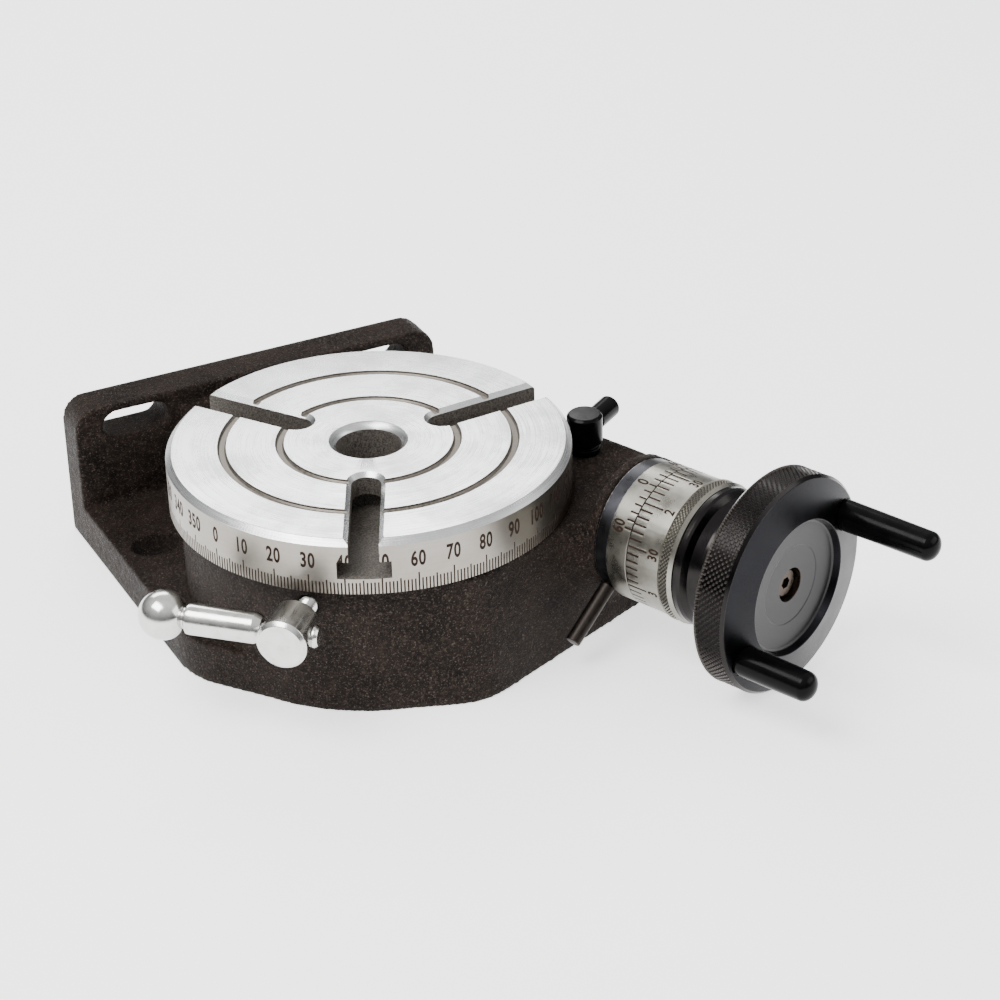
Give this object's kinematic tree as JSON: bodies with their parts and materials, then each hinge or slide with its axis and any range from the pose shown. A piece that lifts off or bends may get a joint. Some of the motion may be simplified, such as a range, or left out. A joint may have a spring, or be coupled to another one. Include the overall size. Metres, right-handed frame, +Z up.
{
  "type": "rotary table",
  "caption": "Round tee-slotted work table turning on a low cast base with an upright mounting plate, driven by a worm, dial and handwheel, with a clamp lever.",
  "frame": {"origin": "centre of the bounding box in X and Y, on the plane the base stands on", "axes": "+Z up along the table's axis, +Y towards the upright mounting plate, +X along that plate"},
  "size_m": [0.1912, 0.2032, 0.0613],
  "materials": {
    "casting_paint": "rough sand-cast paint, dark brown-black",
    "ground_steel": "ground and turned, bright satin",
    "satin_steel": "satin, with dark engraved marks",
    "turned_steel": "turned",
    "black_oxide": "black oxide, satin",
    "plated_steel": "bright plating",
    "bronze": "machined",
    "black_handle": "gloss black"
  },
  "bodies": {
    "base": {"base_casting": "casting_paint", "spindle_bush": "bronze", "sleeve_lock_pad": "bronze", "clamp_shoe": "bronze", "sleeve_stop_screw": "black_oxide"},
    "table": {"table": "ground_steel", "worm_wheel": "bronze", "worm_wheel_screw_1": "black_oxide", "worm_wheel_screw_2": "black_oxide", "worm_wheel_screw_3": "black_oxide", "worm_wheel_screw_4": "black_oxide", "spindle_washer": "turned_steel", "spindle_nut": "turned_steel", "spindle_lock_nut": "turned_steel"},
    "sleeve": {"eccentric_sleeve": "turned_steel", "worm_tail_bush": "bronze", "worm_front_bush": "bronze", "vernier_ring": "satin_steel", "vernier_set_screw": "black_oxide", "engagement_lever": "black_oxide"},
    "worm": {"worm_shaft": "turned_steel", "worm_thrust_washer": "turned_steel", "handwheel": "black_oxide", "handwheel_key": "turned_steel", "handwheel_screw": "turned_steel", "handle_1": "black_handle", "handle_2": "black_handle"},
    "dial": {"graduated_dial": "satin_steel", "dial_set_screw": "black_oxide"},
    "sleeve_lock": {"sleeve_lock_screw": "black_handle", "sleeve_lock_handle": "black_handle"},
    "table_clamp": {"clamp_screw": "plated_steel", "clamp_hub": "plated_steel", "clamp_arm": "plated_steel"}
  },
  "joints": [
    {"name": "table_turn", "type": "hinge", "parent": "base", "child": "table", "pos_m": [-0.01855, 0.01664, 0.045], "axis": [0, 0, 1], "continuous": true},
    {"name": "sleeve_turn", "type": "hinge", "parent": "base", "child": "sleeve", "pos_m": [0.04252, -0.02316, 0.02927], "axis": [0.3795, -0.9252, 0], "range_deg": [-60, 0]},
    {"name": "handwheel_turn", "type": "hinge", "parent": "sleeve", "child": "worm", "pos_m": [0.0416, -0.02354, 0.031], "axis": [0.3795, -0.9252, 0], "continuous": true},
    {"name": "dial_set", "type": "hinge", "parent": "worm", "child": "dial", "pos_m": [0.04918, -0.04205, 0.031], "axis": [0.3795, -0.9252, 0], "continuous": true},
    {"name": "sleeve_lock_turn", "type": "hinge", "parent": "base", "child": "sleeve_lock", "pos_m": [0.04237, 0.00671, 0.044], "axis": [0, 0, 1], "range_deg": [-75, 30]},
    {"name": "clamp_turn", "type": "hinge", "parent": "base", "child": "table_clamp", "pos_m": [-0.06371, -0.03095, 0.0318], "axis": [-0.6884, -0.7254, 0], "range_deg": [-90, 25]}
  ],
  "couplings": [
    {"joint": "handwheel_turn", "follows": "table_turn", "ratio": 72}
  ]
}
